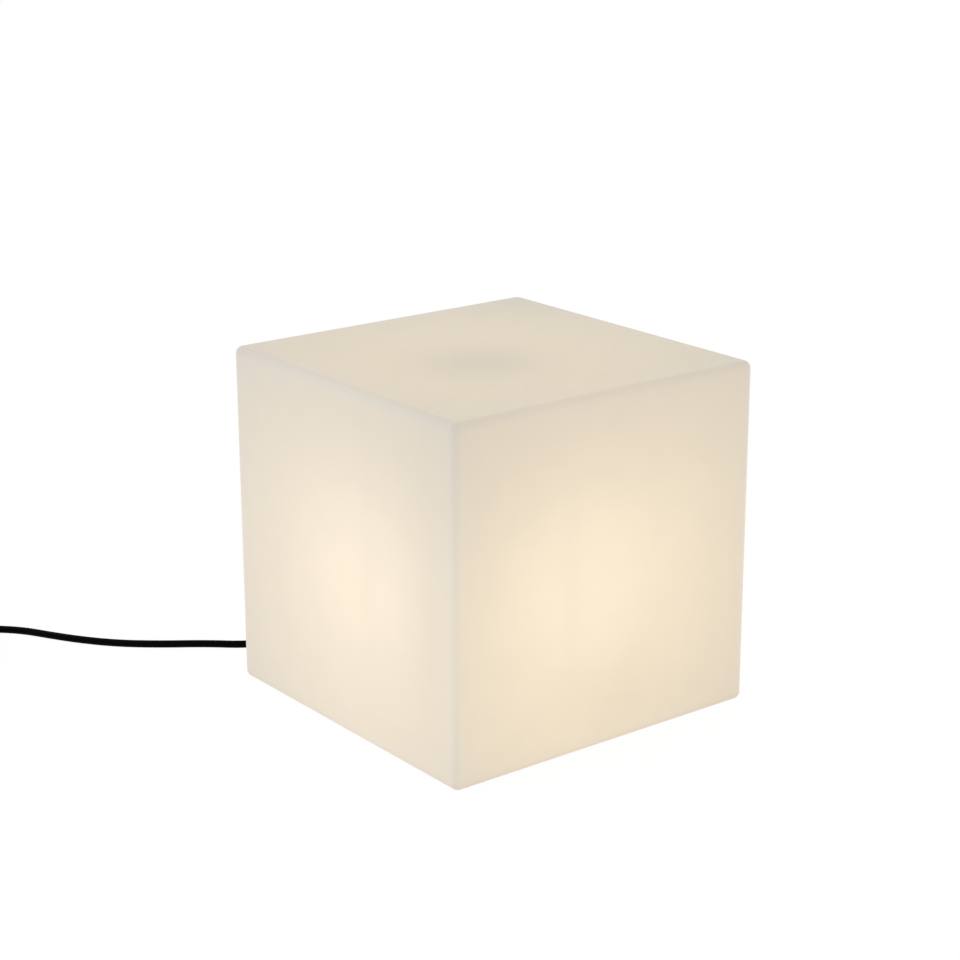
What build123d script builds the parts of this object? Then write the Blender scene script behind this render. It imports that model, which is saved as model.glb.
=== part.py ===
from build123d import *
import math
import os

os.makedirs("parts", exist_ok=True)

# A glowing garden cube: a hollow moulded cube over a push-in lamp insert.
# Millimetres, +Z up, origin on the floor under the middle of the cube.
# The front is towards -Y and the lead leaves at the back, towards +Y.

# Moulded cube
body_width = 300.0
body_height = 291.0
wall = 3.5
edge_radius = 6.5
least_inner_radius = 0.5
collar_wall = 4.0
lead_in = 1.5

# Rubber feet under the cube
foot_radius = 9.0
foot_height = 2.5
foot_seat_depth = 1.0
foot_seat_gap = 0.15
foot_inset = 32.0
foot_chamfer = 0.6

# Supply lead
cord_diameter = 6.5
cord_bore_gap = 0.05
wire_diameter = 2.3
wire_spread = 1.4

# Lamp insert: a round puck with a neck that pushes into the cube's collar
puck_radius = 62.0
housing_wall = 2.5
housing_edge = 1.5
deck_thick = 3.0
chamber_height = 15.7
insert_off_floor = 2.0
lid_thick = 2.3
lid_edge = 0.8
lid_rim_thick = 2.0
lid_rim_height = 2.7
lid_rim_gap = 0.3
gasket_thick = 0.8
gasket_inset = 0.3
neck_height = 19.0
neck_outer_radius = 49.4
neck_wall = 5.5
seal_section = 2.5
seal_above_deck = 11.0
seal_groove_play = 0.1

# Running gaps between the cube and the insert
recess_gap = 2.0
roof_gap = 0.5
neck_gap = 0.6
seal_gap = 0.3
collar_over_neck = 2.0

# Lid screws and finger pockets
lid_screw_circle = 53.0
lid_screw_radius = 1.45
lid_screw_head = 2.9
lid_screw_length = 10.0
screw_hole_gap = 0.05
head_gap = 0.15
boss_wall = 2.5
boss_gap = 0.1
pocket_offset = 38.0
pocket_width = 14.0
pocket_length = 40.0
pocket_depth = 8.0
pocket_wall = 1.5

# Lead outlet: flat pad on the puck, tapered rubber sleeve, arched channel in the cube
outlet_pad_half = 8.0
outlet_proud = 0.5
outlet_wall = 4.0
sleeve_neck_radius = 4.55
sleeve_flange_radius = 6.45
sleeve_flange_thick = 2.5
sleeve_root_radius = 5.5
sleeve_tip_radius = 4.2
sleeve_length = 30.0
sleeve_groove_count = 4
sleeve_groove_width = 1.6
sleeve_groove_depth = 0.7
sleeve_seat_gap = 0.05
channel_half_width = 9.0
channel_spring = 8.0
channel_flare = 3.0

# Lead clamp inside the puck
clamp_y = 46.0
clamp_length = 27.0
clamp_width = 8.0
clamp_thick = 2.8
clamp_screw_half = 9.0
clamp_screw_radius = 1.4
clamp_screw_head = 2.7
clamp_screw_length = 11.0
clamp_post_gap = 0.5
clamp_off_lid = 0.4
saddle_width = 6.0
tail_end_y = 34.0

# Hollow threaded nipple that carries the lampholder
nipple_radius = 5.0
nipple_bore = 3.4
nipple_below_nut = 0.9
nipple_above_nut = 1.5
nipple_hole_gap = 0.05
nut_across = 15.0
nut_thick = 3.6
wire_bend = 9.0
wire_turn = 3.2

# Lampholder for a 27 mm screw cap
holder_radius = 20.5
holder_foot_radius = 12.0
holder_wall = 2.0
dome_floor = 3.0
dome_rise = 15.0
dome_height = 23.0
barrel_wall = 3.6
barrel_joint = 6.0
barrel_joint_gap = 0.2
barrel_height = 32.5
barrel_waist = 0.9
barrel_band = 3.0
barrel_rim = 2.4
barrel_lip = 0.8
block_height = 8.0
block_gap = 0.1
block_above_joint = 4.0
sleeve_metal = 0.7
sleeve_bore = 13.5
sleeve_height = 26.0
sleeve_flange_rim = 1.5
contact_thick = 0.5
contact_rise = 2.0
contact_width = 5.0
contact_reach = 9.0
contact_play = 0.2
terminal_offset = 10.0
terminal_radius = 1.4
terminal_head = 2.6
terminal_head_thick = 2.0
terminal_shank = 6.0
terminal_wire_gap = 2.6

# Filament lamp
bulb_length = 105.0
globe_radius = 30.0
glass_wall = 0.8
globe_neck_radius = 12.2
globe_neck_in_cap = 6.0
cap_radius = 13.0
cap_wall = 0.6
cap_height = 22.0
insulator_height = 3.5
insulator_low_radius = 6.5
insulator_high_radius = 12.0
tip_height = 1.5
tip_radius = 4.8
stem_base_radius = 10.9
stem_waist_radius = 4.0
stem_flare_height = 13.0
stem_height = 25.0
stem_in_cap = 4.0
filament_count = 4
filament_radius = 0.9
filament_low_ring = 5.5
filament_high_ring = 10.0
filament_low = 2.5
filament_height = 38.0
filament_wire = 0.45
filament_mast = 0.8

# Lead route on the floor behind the cube, and the put-away coil
drop_place = (-0.5, 147.0)
floor_route = [
    (-3.0, 172.0),
    (-19.0, 192.0),
    (-48.0, 200.0),
    (-81.5, 196.5),
    (-111.5, 203.5),
    (-139.5, 230.0),
    (-173.0, 253.5),
    (-201.5, 278.5),
    (-223.5, 307.0),
    (-238.5, 332.5),
    (-253.5, 360.0),
    (-276.5, 383.0),
]
coil_approach = [(-306.0, 390.0), (-328.0, 390.0)]
straight_from_outlet = 24.0
corner_share = 0.45
coil_outer_radius = 37.2
coil_pitch = 7.3
coil_layers = 4
coil_layer_half_turns = 3
coil_last_half_turns = 2.5
coil_sides = 8
coil_start_angle = 90.0
tie_thick = 0.6
tie_width = 8.0
tie_gap = 0.4
tie_corner = 2.5
tie_angle = 135.0
tie_flap_margin = 5.0
end_runs = (18.0, 23.8, 19.0)

# Moulded two-pole plug
plug_width = 36.0
plug_height = 26.0
plug_corner = 9.0
plug_face_length = 10.0
plug_taper_length = 16.0
plug_waist_width = 17.0
plug_waist_height = 15.0
plug_waist_corner = 6.0
plug_notch_radius = 3.5
plug_relief_length = 22.0
plug_relief_root = 5.9
plug_relief_tip = 4.2
pin_radius = 2.4
pin_length = 19.0
pin_spacing = 19.0
pin_shank_radius = 1.9
pin_shank_length = 6.0
pin_shank_gap = 0.03
pin_tip_fillet = 1.4

# Heights that follow from the sizes above
foot_proud = foot_height - foot_seat_depth
shell_bottom = foot_proud
shell_top = shell_bottom + body_height
lid_top = insert_off_floor + lid_thick
housing_bottom = lid_top + gasket_thick
deck_bottom = lid_top + chamber_height
deck_top = deck_bottom + deck_thick
neck_top = deck_top + neck_height
recess_radius = puck_radius + recess_gap
recess_roof = deck_top + roof_gap
bore_radius = neck_outer_radius + neck_gap
collar_top = neck_top + collar_over_neck
cord_radius = cord_diameter / 2
wire_radius = wire_diameter / 2
clamp_bottom = lid_top + clamp_off_lid
cord_height = clamp_bottom + clamp_thick + cord_radius
outlet_face = puck_radius + outlet_proud
outlet_inside = outlet_face - outlet_wall
sleeve_start = outlet_face + sleeve_flange_thick
sleeve_tip = sleeve_start + sleeve_length
drop_height = (cord_height + cord_radius) / 2
coil_level = tie_thick + tie_gap + cord_radius

# Heights inside the lampholder and the lamp
dome_floor_top = deck_top + dome_floor
dome_top = deck_top + dome_height
barrel_top = dome_top + barrel_height
barrel_bore = holder_radius - barrel_waist - barrel_wall
block_bottom = dome_top - block_above_joint
block_top = block_bottom + block_height
block_radius = barrel_bore - block_gap
contact_top = block_top + contact_rise + contact_thick
bulb_base = contact_top + contact_play
cap_bottom = bulb_base + tip_height + insulator_height
cap_top = cap_bottom + cap_height
globe_centre = bulb_base + bulb_length - globe_radius
stem_top = cap_top + stem_height
terminal_head_top = block_bottom - terminal_wire_gap


# Shared shape helpers

def disc(radius, low, high, x=0.0, y=0.0):
    """An upright cylinder between two heights."""
    stand = (Align.CENTER, Align.CENTER, Align.MIN)
    return Pos(x, y, low) * Cylinder(radius, high - low, align=stand)


def ring(outer, inner, low, high, x=0.0, y=0.0):
    """An upright tube between two heights."""
    return disc(outer, low, high, x, y) - disc(inner, low, high, x, y)


def cone(low_radius, high_radius, low, high, x=0.0, y=0.0):
    """An upright cone frustum between two heights."""
    stand = (Align.CENTER, Align.CENTER, Align.MIN)
    return Pos(x, y, low) * Cone(low_radius, high_radius, high - low, align=stand)


def along_y(radius, start, end, x, z):
    """A cylinder lying along +Y."""
    stand = (Align.CENTER, Align.CENTER, Align.MIN)
    return Pos(x, start, z) * Rot(-90, 0, 0) * Cylinder(radius, end - start, align=stand)


def block(x_low, x_high, y_low, y_high, z_low, z_high):
    """A box between two corners."""
    corner = (Align.MIN, Align.MIN, Align.MIN)
    size = Box(x_high - x_low, y_high - y_low, z_high - z_low, align=corner)
    return Pos(x_low, y_low, z_low) * size


def turned(*outline):
    """A shape turned about Z from a closed outline of (radius, height) points."""
    return revolve(Plane.XZ * make_face(Polyline(*outline, close=True)), axis=Axis.Z)


def turned_along_y(*outline):
    """A shape turned about a line along Y from a closed outline of (radius, y) points."""
    return revolve(make_face(Polyline(*outline, close=True)), axis=Axis.Y)


def rounded_cube(width, low, high, radius):
    """A square upright box with every edge rounded."""
    half = width / 2
    plain = block(-half, half, -half, half, low, high)
    return fillet(plain.edges(), radius)


def arch_face(half_width, y):
    """A doorway outline across Y: straight sides below a half-round top."""
    spring = shell_bottom + channel_spring
    foot = shell_bottom - lead_in
    outline = Line((-half_width, foot), (half_width, foot))
    outline += Line((half_width, foot), (half_width, spring))
    outline += ThreePointArc((half_width, spring), (0, spring + half_width), (-half_width, spring))
    outline += Line((-half_width, spring), (-half_width, foot))
    return Plane(origin=(0, y, 0), x_dir=(1, 0, 0), z_dir=(0, -1, 0)) * make_face(outline)


def arch_tunnel(half_width, start, end):
    """A doorway outline carried along +Y."""
    return extrude(arch_face(half_width, start), end - start, dir=(0, 1, 0))


def countersunk_screw(x, y, low, radius, head, length):
    """A flat-headed screw pointing up, with its head flush at the low end."""
    head_height = head - radius
    return cone(head, radius, low, low + head_height, x, y) + disc(radius, low, low + length, x, y)


def countersunk_hole(x, y, low, high, radius, head):
    """The space that such a screw takes in the plate under its head."""
    sink = cone(head + head_gap, radius, low, low + head + head_gap - radius, x, y)
    return sink + disc(radius + screw_hole_gap, low, high, x, y)


def hex_nut(low, high, bore):
    """A hexagon nut about Z."""
    outline = RegularPolygon(nut_across / 2, 6, major_radius=False)
    return extrude(Pos(0, 0, low) * outline, high - low) - disc(bore, low, high)


def corner_radii(points):
    """The largest fair arc at each corner of a route, from its shorter run and its turn."""
    radii = []
    for before, here, after in zip(points, points[1:], points[2:]):
        run_in = Vector(*here) - Vector(*before)
        run_out = Vector(*after) - Vector(*here)
        turn = math.radians(run_in.get_angle(run_out))
        shorter = min(run_in.length, run_out.length)
        radii.append(corner_share * shorter / math.tan(turn / 2))
    return radii


def tube(points, radius, name):
    """A round lead along straight runs and the tangent arcs between them."""
    radii = corner_radii(points)
    path = FilletPolyline(*points, radius=radii)
    start = Plane(origin=path @ 0, z_dir=path % 0)
    solid = sweep(start * Circle(radius), path=path)
    expected = math.pi * radius ** 2 * path.length
    print(name, "radii", [round(r) for r in radii], "length", round(path.length, 1))
    print(name, "volume over section times length", round(solid.volume / expected, 4))
    return solid, path.length


foot_offset = body_width / 2 - foot_inset
foot_places = [(sx * foot_offset, sy * foot_offset) for sx in (-1, 1) for sy in (-1, 1)]
lid_screw_places = [
    (lid_screw_circle * math.cos(math.radians(a)), lid_screw_circle * math.sin(math.radians(a)))
    for a in (45, 135, 225, 315)
]
clamp_screw_places = [(side * clamp_screw_half, clamp_y) for side in (-1, 1)]


# Cube and its feet

def make_cube_shell():
    """One hollow moulding: rounded cube, puck recess, collar and lead channel."""
    outer = rounded_cube(body_width, shell_bottom, shell_top, edge_radius)
    inner_radius = max(edge_radius - wall, least_inner_radius)
    inner = rounded_cube(body_width - 2 * wall, shell_bottom + wall, shell_top - wall, inner_radius)
    back = body_width / 2
    skin = disc(recess_radius + wall, shell_bottom, recess_roof + wall)
    skin += disc(bore_radius + collar_wall, shell_bottom, collar_top)
    skin += arch_tunnel(channel_half_width + wall, 0, back)
    shell = outer - (inner - skin)
    shell -= disc(recess_radius, shell_bottom, recess_roof)
    shell -= cone(recess_radius + lead_in, recess_radius, shell_bottom, shell_bottom + lead_in)
    shell -= disc(bore_radius, recess_roof, collar_top)
    shell -= cone(bore_radius + lead_in, bore_radius, recess_roof, recess_roof + lead_in)
    shell -= arch_tunnel(channel_half_width, 0, back + lead_in)
    mouth = arch_face(channel_half_width, back - channel_flare)
    shell -= loft([mouth, arch_face(channel_half_width + channel_flare, back)])
    for x, y in foot_places:
        seat = foot_radius + foot_seat_gap
        shell -= disc(seat, shell_bottom, shell_bottom + foot_seat_depth, x, y)
    return shell


def make_rubber_feet():
    """Four round pads, each let into a shallow seat under the cube."""
    pads = []
    for x, y in foot_places:
        pad = disc(foot_radius, 0, foot_height, x, y)
        rim = pad.edges().group_by(Axis.Z)[0]
        pads.append(chamfer(rim, foot_chamfer))
    return Compound(pads)


# Lamp insert

def make_base_housing():
    """The puck's cup, opening downwards, with the neck that pushes into the collar."""
    puck = disc(puck_radius, housing_bottom, deck_top)
    puck = fillet(puck.edges().group_by(Axis.Z)[-1], housing_edge)
    inside = puck_radius - housing_wall
    puck += block(-outlet_pad_half, outlet_pad_half, 0, outlet_face, housing_bottom, deck_bottom)
    chamber = disc(inside, housing_bottom, deck_bottom)
    pad_inside = block(-outlet_pad_half, outlet_pad_half, outlet_inside, outlet_face, 0, deck_bottom)
    housing = puck - (chamber - pad_inside)
    inner = neck_outer_radius - neck_wall
    neck = turned(
        (inner, deck_top),
        (neck_outer_radius, deck_top),
        (neck_outer_radius, neck_top - lead_in),
        (neck_outer_radius - lead_in, neck_top),
        (inner, neck_top),
    )
    groove_half = seal_section / 2 + seal_groove_play
    groove_floor = seal_ring_radius - seal_section / 2 - seal_groove_play
    neck -= ring(bore_radius, groove_floor, seal_height - groove_half, seal_height + groove_half)
    housing += neck
    for x, y in lid_screw_places:
        housing += disc(lid_screw_radius + boss_wall, lid_top + boss_gap, deck_bottom, x, y)
        tip = insert_off_floor + lid_screw_length
        housing -= disc(lid_screw_radius + screw_hole_gap, lid_top, tip, x, y)
    cord_top = cord_height + cord_radius
    half = saddle_width / 2
    reach = clamp_screw_half
    housing += block(-reach, reach, clamp_y - half, clamp_y + half, cord_top, deck_bottom)
    post_foot = clamp_bottom + clamp_thick + clamp_post_gap
    for x, y in clamp_screw_places:
        housing += disc(clamp_width / 2, post_foot, deck_bottom, x, y)
        tip = clamp_bottom + clamp_screw_length
        housing -= disc(clamp_screw_radius + screw_hole_gap, post_foot, tip, x, y)
    housing -= disc(nipple_radius + nipple_hole_gap, deck_bottom, deck_top)
    hole = sleeve_neck_radius + sleeve_seat_gap
    housing -= along_y(hole, outlet_inside, outlet_face, 0, cord_height)
    return housing


def make_base_lid():
    """The puck's underside plate, with a locating rim and two finger pockets."""
    lid = disc(puck_radius, insert_off_floor, lid_top)
    lid = chamfer(lid.edges().group_by(Axis.Z)[0], lid_edge)
    rim = ring(lid_rim_radius, lid_rim_radius - lid_rim_thick, lid_top, lid_rim_top)
    reach = outlet_pad_half + lid_rim_gap
    rim -= block(-reach, reach, 0, puck_radius, lid_top, lid_rim_top)
    lid += rim
    pocket_top = insert_off_floor + pocket_depth
    cup = SlotOverall(pocket_length + 2 * pocket_wall, pocket_width + 2 * pocket_wall, rotation=90)
    hollow = SlotOverall(pocket_length, pocket_width, rotation=90)
    for side in (-1, 1):
        at = Pos(side * pocket_offset, 0, insert_off_floor)
        lid += extrude(at * cup, pocket_depth + pocket_wall)
        lid -= extrude(at * hollow, pocket_top - insert_off_floor)
    for x, y in lid_screw_places:
        lid -= countersunk_hole(x, y, insert_off_floor, lid_top, lid_screw_radius, lid_screw_head)
    return lid


def make_lid_gasket():
    """A flat ring squeezed between the lid and the puck's rim."""
    outer = puck_radius - gasket_inset
    inner = puck_radius - housing_wall + gasket_inset
    return ring(outer, inner, lid_top, housing_bottom)


def make_lid_screws():
    """Flat-headed screws that hold the lid."""
    screws = [
        countersunk_screw(x, y, insert_off_floor, lid_screw_radius, lid_screw_head, lid_screw_length)
        for x, y in lid_screw_places
    ]
    return Compound(screws)


def make_neck_seal():
    """The rubber ring in the neck's groove, whose grip holds the insert in the collar."""
    return Pos(0, 0, seal_height) * Torus(seal_ring_radius, seal_section / 2)


def make_lead_sleeve():
    """The tapered strain relief: a flanged plug in the puck's pad and a grooved taper."""
    bore = cord_radius + cord_bore_gap
    inner_flange = outlet_inside - sleeve_flange_thick
    outline = [(bore, inner_flange), (sleeve_flange_radius, inner_flange)]
    outline += [(sleeve_flange_radius, outlet_inside), (sleeve_neck_radius, outlet_inside)]
    outline += [(sleeve_neck_radius, outlet_face), (sleeve_flange_radius, outlet_face)]
    outline += [(sleeve_flange_radius, sleeve_start)]
    outline += grooved_taper(
        sleeve_root_radius, sleeve_tip_radius, sleeve_start, sleeve_tip, 1
    )
    outline += [(bore, sleeve_tip)]
    return Pos(0, 0, cord_height) * turned_along_y(*outline)


def grooved_taper(root, tip, start, end, sense):
    """Outline points of a taper along Y with flexing grooves, from root to tip."""
    points = [(root, start)]
    step = (end - start) / (sleeve_groove_count + 1)
    half = sense * sleeve_groove_width / 2
    for i in range(1, sleeve_groove_count + 1):
        middle = start + i * step
        radius = root + (tip - root) * i / (sleeve_groove_count + 1)
        points += [(radius, middle - half), (radius - sleeve_groove_depth, middle - half)]
        points += [(radius - sleeve_groove_depth, middle + half), (radius, middle + half)]
    return points + [(tip, end)]


def make_cord_clamp():
    """The bar that holds the lead's jacket against the saddle under the deck."""
    bar = extrude(Pos(0, clamp_y, clamp_bottom) * SlotOverall(clamp_length, clamp_width), clamp_thick)
    for x, y in clamp_screw_places:
        top = clamp_bottom + clamp_thick
        bar -= countersunk_hole(x, y, clamp_bottom, top, clamp_screw_radius, clamp_screw_head)
    return bar


def make_clamp_screws():
    """Two flat-headed screws up through the clamp bar."""
    screws = [
        countersunk_screw(x, y, clamp_bottom, clamp_screw_radius, clamp_screw_head, clamp_screw_length)
        for x, y in clamp_screw_places
    ]
    return Compound(screws)


def make_wire(side):
    """One insulated core: out of the jacket, up the nipple and under its terminal screw."""
    x = side * wire_spread
    wire_level = block_bottom - wire_radius
    end = side * (terminal_offset - terminal_radius)
    points = [(x, tail_end_y, cord_height), (x, 0, cord_height), (x, 0, wire_level), (end, 0, wire_level)]
    path = FilletPolyline(*points, radius=[wire_bend, wire_turn])
    return sweep(Plane(origin=path @ 0, z_dir=path % 0) * Circle(wire_radius), path=path)


# Lampholder

def make_nipple():
    """The hollow threaded tube through the deck and the dome's floor."""
    low = deck_bottom - nut_thick - nipple_below_nut
    high = dome_floor_top + nut_thick + nipple_above_nut
    return ring(nipple_radius, nipple_bore, low, high)


def make_nipple_nuts():
    """One nut under the deck and one on the dome's floor."""
    bore = nipple_radius + nipple_hole_gap
    lower = hex_nut(deck_bottom - nut_thick, deck_bottom, bore)
    upper = hex_nut(dome_floor_top, dome_floor_top + nut_thick, bore)
    return Compound([lower, upper])


def make_holder_dome():
    """The lampholder's lower cap, curving in from its rim to its foot."""
    bore = nipple_radius + nipple_hole_gap
    shoulder = deck_top + dome_rise
    inside = holder_radius - holder_wall
    inner_foot = holder_foot_radius - holder_wall
    outline = Line((bore, deck_top), (holder_foot_radius, deck_top))
    outline += TangentArc((holder_radius, shoulder), (holder_foot_radius, deck_top), tangent=(0, -1))
    outline += Line((holder_radius, shoulder), (holder_radius, dome_top))
    outline += Line((holder_radius, dome_top), (inside, dome_top))
    outline += Line((inside, dome_top), (inside, shoulder))
    outline += TangentArc((inside, shoulder), (inner_foot, dome_floor_top), tangent=(0, -1))
    outline += Line((inner_foot, dome_floor_top), (bore, dome_floor_top))
    outline += Line((bore, dome_floor_top), (bore, deck_top))
    return revolve(Plane.XZ * make_face(outline), axis=Axis.Z)


def make_holder_barrel():
    """The lampholder's upper tube, with a joint that enters the dome and a rolled rim."""
    joint = holder_radius - holder_wall - barrel_joint_gap
    waist = holder_radius - barrel_waist
    lip = sleeve_bore + sleeve_metal + barrel_lip
    rim_low = barrel_top - barrel_rim
    return turned(
        (barrel_bore, dome_top - barrel_joint),
        (joint, dome_top - barrel_joint),
        (joint, dome_top),
        (holder_radius, dome_top),
        (holder_radius, dome_top + barrel_band),
        (waist, dome_top + barrel_band + barrel_waist),
        (waist, rim_low - barrel_waist),
        (holder_radius, rim_low),
        (holder_radius, barrel_top),
        (lip, barrel_top),
        (lip, rim_low),
        (barrel_bore, rim_low - barrel_lip),
    )


def make_contact_block():
    """The insulating disc that carries the terminals, inside the barrel's joint."""
    disc_block = disc(block_radius, block_bottom, block_top)
    for side in (-1, 1):
        hole = terminal_radius + screw_hole_gap
        tip = terminal_head_top + terminal_shank
        disc_block -= disc(hole, block_bottom, tip, side * terminal_offset, 0)
    return disc_block


def make_terminal_screws():
    """Two cheese-headed screws, each with a core under its head."""
    screws = []
    for side in (-1, 1):
        x = side * terminal_offset
        head = disc(terminal_head, terminal_head_top - terminal_head_thick, terminal_head_top, x, 0)
        screws.append(head + disc(terminal_radius, terminal_head_top, terminal_head_top + terminal_shank, x, 0))
    return Compound(screws)


def make_screw_sleeve():
    """The thin metal sleeve that takes the lamp's cap."""
    sleeve = ring(sleeve_bore + sleeve_metal, sleeve_bore, block_top, block_top + sleeve_height)
    flange = sleeve_bore + sleeve_metal + sleeve_flange_rim
    return sleeve + ring(flange, sleeve_bore, block_top, block_top + sleeve_metal)


def make_centre_contact():
    """The sprung strip under the lamp's tip."""
    step = contact_rise + contact_thick
    foot = -contact_reach / 2
    outline = Polyline(
        (-contact_reach, block_top),
        (foot, block_top),
        (foot + step, block_top + contact_rise),
        (-foot, block_top + contact_rise),
        (-foot, contact_top),
        (foot + step - contact_thick, contact_top),
        (foot - contact_thick, block_top + contact_thick),
        (-contact_reach, block_top + contact_thick),
        close=True,
    )
    face = Plane.XZ * make_face(outline)
    return extrude(face, contact_width / 2, both=True)


# Filament lamp

def globe_outline(inset):
    """The pear outline of the glass: neck, inward curve, and ball, drawn in by inset."""
    neck = globe_neck_radius - inset
    ball = globe_radius - inset
    rise = globe_centre - cap_top
    bend = (neck ** 2 + rise ** 2 - ball ** 2) / (2 * (ball - neck))
    across = neck + bend
    share = ball / (ball + bend)
    touch = (across * share, globe_centre - rise * share)
    top = (0, globe_centre + ball)
    half_turn = (math.atan2(touch[1] - globe_centre, touch[0]) + math.pi / 2) / 2
    middle = (ball * math.cos(half_turn), globe_centre + ball * math.sin(half_turn))
    low = (neck, cap_top - globe_neck_in_cap)
    curve = Line(low, (neck, cap_top))
    curve += TangentArc((neck, cap_top), touch, tangent=(0, 1))
    curve += ThreePointArc(touch, middle, top)
    return curve, low, top


def make_bulb_globe():
    """The thin glass envelope."""
    outer, outer_low, outer_top = globe_outline(0)
    inner, inner_low, inner_top = globe_outline(glass_wall)
    outline = outer + Line(outer_top, inner_top) + inner + Line(inner_low, outer_low)
    return revolve(Plane.XZ * make_face(outline), axis=Axis.Z)


def make_bulb_cap():
    """The thin screw cap crimped round the glass neck."""
    return ring(cap_radius, cap_radius - cap_wall, cap_bottom, cap_top)


def make_bulb_insulator():
    """The dark cone between the cap and the tip."""
    low = bulb_base + tip_height
    return cone(insulator_low_radius, insulator_high_radius, low, cap_bottom)


def make_bulb_tip():
    """The soldered contact at the lamp's foot."""
    tip = disc(tip_radius, bulb_base, bulb_base + tip_height)
    return fillet(tip.edges().group_by(Axis.Z)[0], tip_height / 2)


def make_bulb_stem():
    """The flared glass stem inside the globe."""
    flare_low = cap_top - stem_in_cap
    return turned(
        (0, flare_low),
        (stem_base_radius, flare_low),
        (stem_base_radius, flare_low + stem_in_cap / 2),
        (stem_waist_radius, flare_low + stem_flare_height),
        (stem_waist_radius, stem_top),
        (0, stem_top),
    )


def filament_ends(index):
    """The lower and upper end of one filament rod, leaning outwards."""
    turn = math.radians(45 + 360 / filament_count * index)
    low = stem_top + filament_low
    ends = []
    for reach, height in ((filament_low_ring, low), (filament_high_ring, low + filament_height)):
        ends.append(Vector(reach * math.cos(turn), reach * math.sin(turn), height))
    return ends


def rod(start, end, radius):
    """A round bar between two points."""
    plane = Plane(origin=start, z_dir=end - start)
    return plane * Cylinder(radius, (end - start).length, align=(Align.CENTER, Align.CENTER, Align.MIN))


def make_led_filaments():
    """The coated light rods in a cage round the mast."""
    return Compound([rod(*filament_ends(i), filament_radius) for i in range(filament_count)])


def make_filament_frame():
    """The mast on the stem, with a wire spoke to each end of each rod."""
    mast_top = stem_top + 2 * filament_low + filament_height
    frame = disc(filament_mast, stem_top, mast_top)
    for i in range(filament_count):
        low, high = filament_ends(i)
        lean = (high - low).normalized()
        for end, sense, at in ((low, -1, stem_top + filament_low / 2), (high, 1, mast_top - filament_low / 2)):
            hub = Vector(0, 0, at)
            tip = end + lean * (sense * filament_wire)
            frame += rod(hub, tip + (tip - hub).normalized() * filament_wire, filament_wire)
    for i in range(filament_count):
        frame -= rod(*filament_ends(i), filament_radius)
    return frame


# Lead, coil, tie and plug

def biarc(start, start_way, end, end_way):
    """Two arcs that meet smoothly, with equal handles at both ends."""
    span = end - start
    both = start_way + end_way
    bend = 2 * (1 - start_way.dot(end_way))
    along = span.dot(both)
    handle = (math.sqrt(along ** 2 + bend * span.dot(span)) - along) / bend
    meet = ((start + start_way * handle) + (end - end_way * handle)) * 0.5
    first = TangentArc(start, meet, tangent=start_way)
    return [first, TangentArc(meet, end, tangent=first % 1)]


def coil_nodes(centre, floor_level):
    """Where the coil's line is, and which way it runs, at each half turn.

    The line spirals in and out by half a pitch each half turn, and climbs one layer
    in the half turn where the spiral reverses.
    """
    half_pitch = coil_pitch / 2
    drift = half_pitch / math.pi
    nodes = []
    for layer in range(coil_layers):
        last = layer == coil_layers - 1
        inwards = layer % 2 == 0
        steps = [float(s) for s in range(coil_layer_half_turns + 1)]
        if last:
            steps = [s for s in steps if s < coil_last_half_turns] + [coil_last_half_turns]
        for step in steps:
            done = step if inwards else coil_layer_half_turns - step
            radius = coil_outer_radius - half_pitch * done
            half_turns = layer * (coil_layer_half_turns + 1) + step
            angle = math.radians(coil_start_angle + 180 * half_turns)
            out = Vector(math.cos(angle), math.sin(angle), 0)
            forward = Vector(-math.sin(angle), math.cos(angle), 0)
            at_end = half_turns == 0 or (last and step == coil_last_half_turns)
            slope = 0.0 if at_end else (-drift if inwards else drift) / radius
            point = centre + out * radius + Vector(0, 0, floor_level + layer * coil_pitch)
            nodes.append((point, (forward + out * slope).normalized()))
    return nodes


def least_self_gap(path, diameter):
    """The least distance between parts of a wound line half a turn or more apart, less its width."""
    count = int(path.length / (diameter / 2))
    points = [path @ (i / count) for i in range(count + 1)]
    apart = int(count * 2 * (coil_outer_radius - coil_pitch) / path.length)
    least = min(
        (points[i] - points[j]).length
        for i in range(len(points))
        for j in range(i + apart, len(points))
    )
    return least - diameter


def make_coil(start):
    """The put-away length: piled loops swept as one faceted tube with straight ends."""
    first_way = Vector(-1, 0, 0)
    centre = start + first_way * cord_diameter - Vector(0, coil_outer_radius, start.Z)
    nodes = coil_nodes(centre, start.Z)
    edges = [Line(start, nodes[0][0])]
    for (a, a_way), (b, b_way) in zip(nodes, nodes[1:]):
        edges += biarc(a, a_way, b, b_way)
    last, last_way = nodes[-1]
    end = last + last_way * cord_diameter
    edges.append(Line(last, end))
    path = Wire(edges)
    section = Plane(origin=start, z_dir=first_way) * RegularPolygon(cord_radius, coil_sides)
    solid = sweep(section, path=path, clean=False)
    share = coil_sides / 2 * math.sin(2 * math.pi / coil_sides) * cord_radius ** 2
    print("cord_coil length", round(path.length, 1), "least gap to itself",
          round(least_self_gap(path, cord_diameter), 2))
    print("cord_coil volume over section times length", round(solid.volume / (share * path.length), 4))
    return solid, centre, end, path.length


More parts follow.
